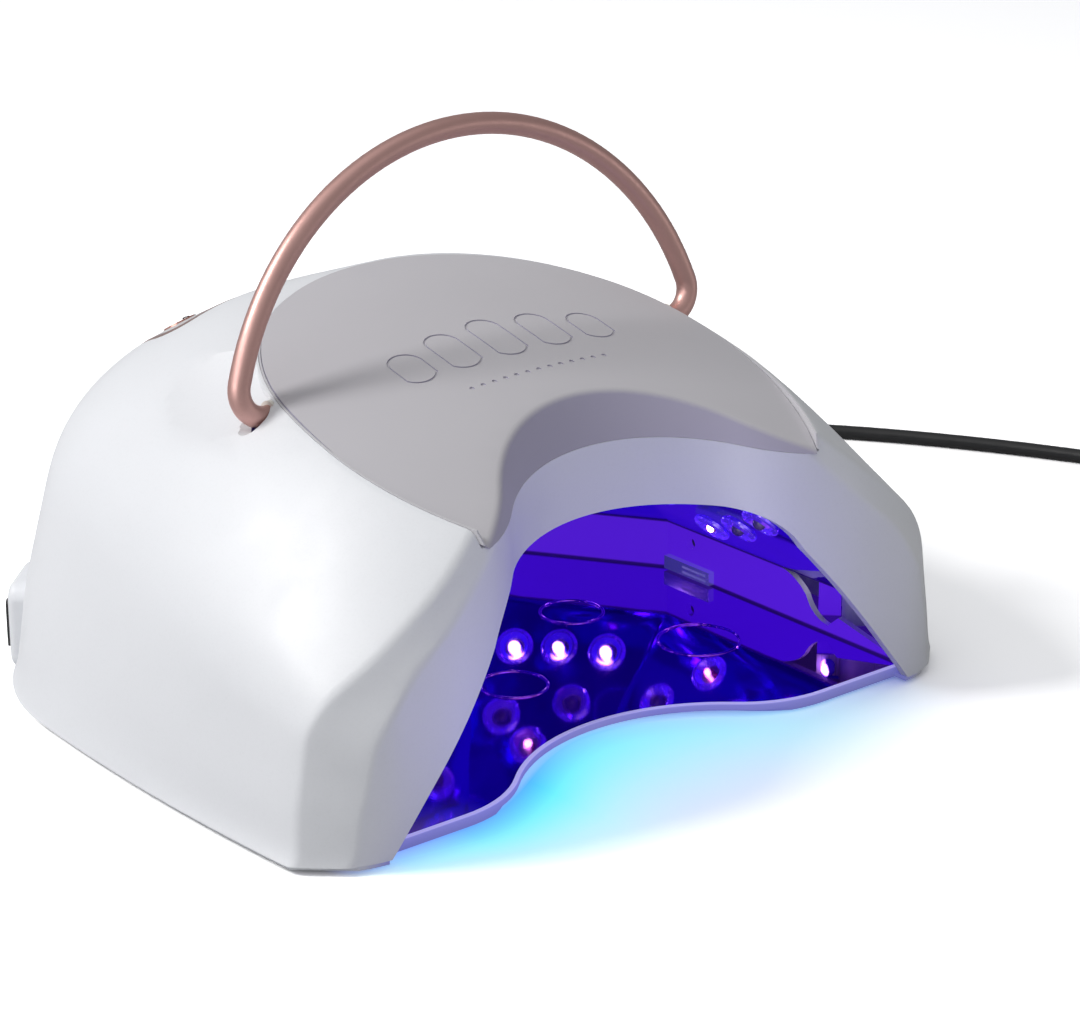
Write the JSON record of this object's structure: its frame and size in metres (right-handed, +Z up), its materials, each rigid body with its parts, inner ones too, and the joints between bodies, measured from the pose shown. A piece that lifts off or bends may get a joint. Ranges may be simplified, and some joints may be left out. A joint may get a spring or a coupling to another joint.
{
  "type": "uv led nail lamp",
  "caption": "Desktop nail-curing lamp: white hood with a mirror-lined hand cavity over a base tray, folding rod handle, rear timer panel, power rocker and corded plug.",
  "frame": {"origin": "on the table, in the lamp's mirror plane, under the middle of the base tray's centre pad, 100 mm behind the front edge of the hood's two feet", "axes": "+X to the right of a person behind the lamp's hand opening, across the opening; +Y from the hand opening to the rear; +Z up from the table"},
  "size_m": [0.4273, 0.2857, 0.1701],
  "materials": {
    "white_plastic": "satin moulded",
    "grey_soft_touch": "soft-touch matt",
    "seal_strip": "matt",
    "mirror_sheet": "polished, with raised guide rings",
    "mirror_chamber": "vacuum-metallised",
    "chromed_rings": "polished",
    "violet_lens": "clear lens, lit violet",
    "unlit_lens": "clear lens over a yellow chip",
    "red_lens": "clear lens, lit red",
    "circuit_board": "white solder mask",
    "aluminium": "extruded, bare",
    "dark_lens": "polished",
    "plated_steel": "zinc plated",
    "rose_gold_trim": "rose-gold metallised",
    "rose_gold_rod": "satin rose-gold anodised",
    "panel_gloss": "gloss",
    "clear_lens": "smoked, polished",
    "black_plastic": "fine texture",
    "brass": "bare",
    "wire_sleeve": "smooth",
    "natural_nylon": "smooth",
    "button_plastic": "rose-gold metallised",
    "black_rubber": "matt",
    "cord_sleeve": "satin"
  },
  "bodies": {
    "tray": {"base_tray": "white_plastic", "mirror_floor": "mirror_sheet", "tray_magnets": "plated_steel", "rubber_feet": "black_rubber"},
    "hood": {"housing_shell": "white_plastic", "top_cover": "grey_soft_touch", "cover_seal": "seal_strip", "cover_screws": "plated_steel", "reflector": "mirror_chamber", "chamber_screws": "plated_steel", "hood_magnets": "plated_steel", "uv_leds": "violet_lens", "deep_uv_leds": "unlit_lens", "red_leds": "red_lens", "led_bezels": "chromed_rings", "led_boards_side": "circuit_board", "led_boards_corner": "circuit_board", "led_board_rear": "circuit_board", "led_board_roof": "circuit_board", "foot_light_boards": "circuit_board", "heat_spreader": "aluminium", "hand_sensor": "dark_lens", "tray_catches": "plated_steel", "panel_trim": "rose_gold_trim", "panel_fascia": "panel_gloss", "display_lens": "clear_lens", "display_module": "black_plastic", "control_board": "circuit_board", "tact_switches": "black_plastic", "buzzer": "black_plastic", "board_screws": "plated_steel", "switch_frame": "black_plastic", "switch_terminals": "brass", "dc_jack": "black_plastic", "jack_nut": "plated_steel", "wiring_loom": "wire_sleeve", "handle_bushes": "natural_nylon"},
    "handle": {"carry_handle": "rose_gold_rod", "handle_clips": "plated_steel"},
    "button_1": {"timer_button_1": "button_plastic"},
    "button_2": {"timer_button_2": "button_plastic"},
    "button_3": {"timer_button_3": "button_plastic"},
    "button_4": {"timer_button_4": "button_plastic"},
    "rocker": {"power_rocker": "black_plastic"},
    "plug": {"power_plug": "black_rubber", "power_cord": "cord_sleeve"}
  },
  "joints": [
    {"name": "hood_lift", "type": "slide", "parent": "tray", "child": "hood", "axis": [0, 0, 1], "range_m": [0, 0.05]},
    {"name": "handle_fold", "type": "hinge", "parent": "hood", "child": "handle", "pos_m": [0, -0.0145, 0.0986], "axis": [-1, 0, 0], "range_deg": [0, 60]},
    {"name": "button_1_press", "type": "slide", "parent": "hood", "child": "button_1", "axis": [0, -0.5312, -0.8472], "range_m": [0, 0.0007]},
    {"name": "button_2_press", "type": "slide", "parent": "hood", "child": "button_2", "axis": [0, -0.5312, -0.8472], "range_m": [0, 0.0007]},
    {"name": "button_3_press", "type": "slide", "parent": "hood", "child": "button_3", "axis": [0, -0.5312, -0.8472], "range_m": [0, 0.0007]},
    {"name": "button_4_press", "type": "slide", "parent": "hood", "child": "button_4", "axis": [0, -0.5312, -0.8472], "range_m": [0, 0.0007]},
    {"name": "rocker_tilt", "type": "hinge", "parent": "hood", "child": "rocker", "pos_m": [-0.09618, 0.08348, 0.016], "axis": [0, 0, -1], "range_deg": [0, 14]},
    {"name": "plug_pull", "type": "slide", "parent": "hood", "child": "plug", "axis": [0, 1, 0], "range_m": [0, 0.012]}
  ]
}
